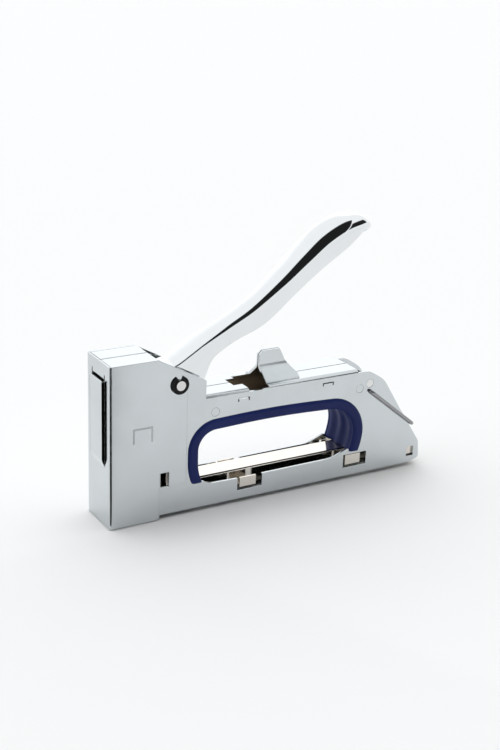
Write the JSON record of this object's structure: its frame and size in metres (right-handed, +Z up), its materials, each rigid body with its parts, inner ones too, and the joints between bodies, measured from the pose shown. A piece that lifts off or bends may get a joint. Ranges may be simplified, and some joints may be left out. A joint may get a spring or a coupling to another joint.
{
  "type": "hand staple gun",
  "caption": "Hand staple gun: plated two-shell body with nose cover, squeeze lever, plastic grip insert, slide-out staple magazine and wire lock bail.",
  "frame": {"origin": "middle of the bounding box, at the sole of the nose", "axes": "+X rearwards along the body from the nose, +Y to the tool's right, +Z up"},
  "size_m": [0.1886, 0.0302, 0.1436],
  "materials": {
    "chrome_plate": "bright plated",
    "nickel": "warm bright nickel",
    "spring_steel": "oiled spring steel",
    "pin_steel": "turned steel",
    "wire_chrome": "bright drawn wire",
    "black_clip": "black oxide",
    "blue_grip": "satin moulded",
    "bumper": "matt"
  },
  "bodies": {
    "frame": {"body_shell_left": "chrome_plate", "body_shell_right": "chrome_plate", "nose_cover": "chrome_plate", "grip_insert": "blue_grip", "pivot_pin": "pin_steel", "pivot_clip": "black_clip", "pivot_spacers": "pin_steel", "shell_rivets": "chrome_plate", "rear_spacer_pin": "pin_steel", "power_spring": "spring_steel", "spring_seat": "spring_steel", "bumper": "bumper", "driver_guide": "spring_steel", "magazine_channel": "nickel"},
    "lever": {"hand_lever": "chrome_plate", "lift_arm_left": "spring_steel", "lift_arm_right": "spring_steel", "lever_rivets": "pin_steel"},
    "driver": {"plunger": "spring_steel", "driver_blade": "spring_steel", "blade_rivets": "pin_steel"},
    "bail": {"lock_bail": "wire_chrome"},
    "rail": {"magazine_rail": "nickel", "rail_end_cap": "nickel", "guide_rod": "pin_steel", "pusher_spring": "spring_steel"},
    "pusher": {"staple_pusher": "nickel"},
    "catch_left_body": {"catch_left": "nickel"},
    "catch_right_body": {"catch_right": "nickel"}
  },
  "joints": [
    {"name": "lever_hinge", "type": "hinge", "parent": "frame", "child": "lever", "pos_m": [-0.05595, 0, 0.07], "axis": [0, 1, 0], "range_deg": [0, 28], "stiffness_Nm_per_rad": 6, "springref_deg": -20.05},
    {"name": "driver_lift", "type": "slide", "parent": "frame", "child": "driver", "axis": [0, 0, 1], "range_m": [0, 0.0132], "deforming": ["power_spring"]},
    {"name": "bail_hinge", "type": "hinge", "parent": "frame", "child": "bail", "pos_m": [0.05825, 0, 0.0486], "axis": [0, -1, 0], "range_deg": [0, 98]},
    {"name": "rail_slide", "type": "slide", "parent": "frame", "child": "rail", "axis": [1, 0, 0], "range_m": [0, 0.15]},
    {"name": "pusher_slide", "type": "slide", "parent": "rail", "child": "pusher", "axis": [1, 0, 0], "range_m": [0, 0.11], "stiffness_N_per_m": 20, "springref_m": -0.12, "deforming": ["pusher_spring"]},
    {"name": "catch_left_slide", "type": "slide", "parent": "rail", "child": "catch_left_body", "axis": [0, 1, 0], "range_m": [0, 0.0015], "stiffness_N_per_m": 150, "springref_m": -0.002},
    {"name": "catch_right_slide", "type": "slide", "parent": "rail", "child": "catch_right_body", "axis": [0, -1, 0], "range_m": [0, 0.0015], "stiffness_N_per_m": 150, "springref_m": -0.002}
  ],
  "couplings": [
    {"joint": "driver_lift", "follows": "lever_hinge", "m_per_rad": 0.026724},
    {"joint": "catch_right_slide", "follows": "catch_left_slide", "ratio": 1}
  ]
}
